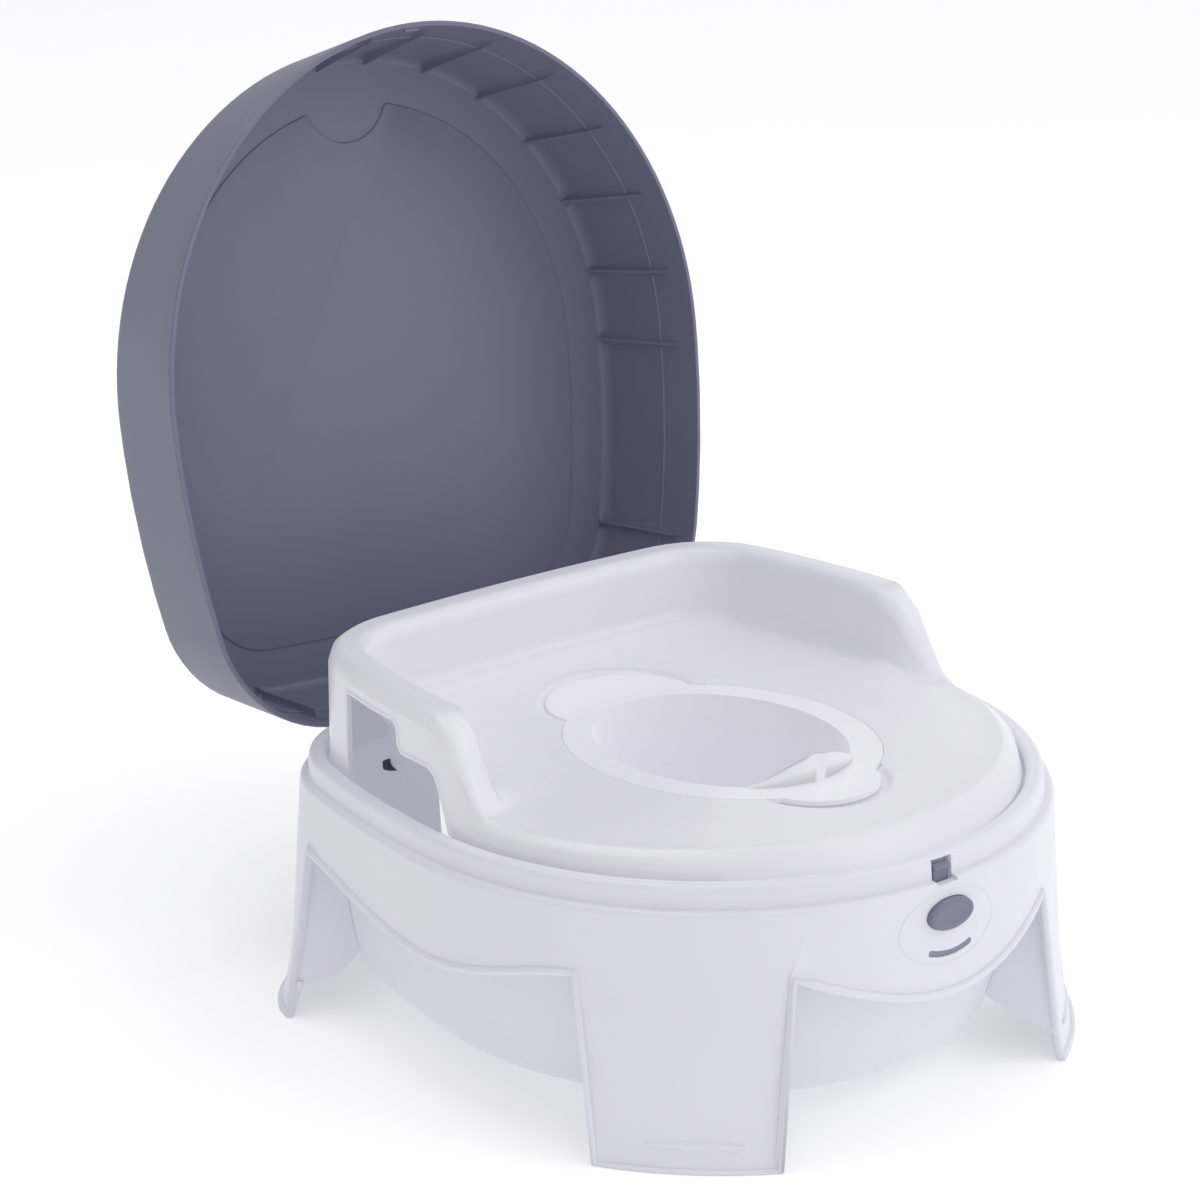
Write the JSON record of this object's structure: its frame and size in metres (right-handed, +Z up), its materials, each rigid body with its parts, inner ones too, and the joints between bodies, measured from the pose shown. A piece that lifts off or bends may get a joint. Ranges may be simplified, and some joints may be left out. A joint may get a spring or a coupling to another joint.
{
  "type": "potty training chair",
  "caption": "Step-stool potty: splayed-leg base with tub, ribbed hinged lid, lift-off seat with raised wall and side grips, lift-out bowl with splash guard, and push-button lid latch.",
  "frame": {"origin": "on the floor under the middle of the base", "axes": "+Z up, the rounded front faces -Y, +X is the sitter's left seen from the front, the lid stands open towards +Y"},
  "size_m": [0.334, 0.4758, 0.4703],
  "materials": {
    "white_plastic": "injection-moulded polypropylene, white with a slight sheen",
    "pot_plastic": "injection-moulded polypropylene, smooth white",
    "slate_plastic": "injection-moulded polypropylene, slate grey with a slight sheen",
    "mat_rubber": "ribbed thermoplastic rubber",
    "grip_rubber": "soft thermoplastic rubber",
    "grey_plastic": "injection-moulded plastic, mid grey",
    "light_grey_plastic": "injection-moulded plastic, grey",
    "pin_steel": "drawn steel pin",
    "spring_steel": "bright steel wire and screws"
  },
  "bodies": {
    "base": {"base_shell": "white_plastic", "base_tub": "white_plastic", "hinge_pins": "pin_steel", "latch_housing": "grey_plastic", "housing_screws": "spring_steel", "smile_inlay": "light_grey_plastic", "latch_spring": "spring_steel"},
    "lid": {"lid_shell": "slate_plastic", "step_mat": "mat_rubber"},
    "seat": {"seat_shell": "white_plastic", "seat_grips": "grip_rubber"},
    "pot": {"pot": "pot_plastic"},
    "latch": {"latch_button": "grey_plastic", "latch_slider": "grey_plastic"}
  },
  "joints": [
    {"name": "lid_hinge", "type": "hinge", "parent": "base", "child": "lid", "pos_m": [0, 0.17898, 0.1147], "axis": [-1, 0, 0], "range_deg": [-95.2, 0]},
    {"name": "seat_lift", "type": "slide", "parent": "base", "child": "seat", "axis": [0, 0, 1], "range_m": [0, 0.2]},
    {"name": "pot_lift", "type": "slide", "parent": "seat", "child": "pot", "axis": [0, 0, 1], "range_m": [0, 0.2]},
    {"name": "latch_press", "type": "slide", "parent": "base", "child": "latch", "axis": [0, 1, 0], "range_m": [0, 0.0035], "stiffness_N_per_m": 300, "springref_m": -0.004, "deforming": ["latch_spring"]}
  ]
}
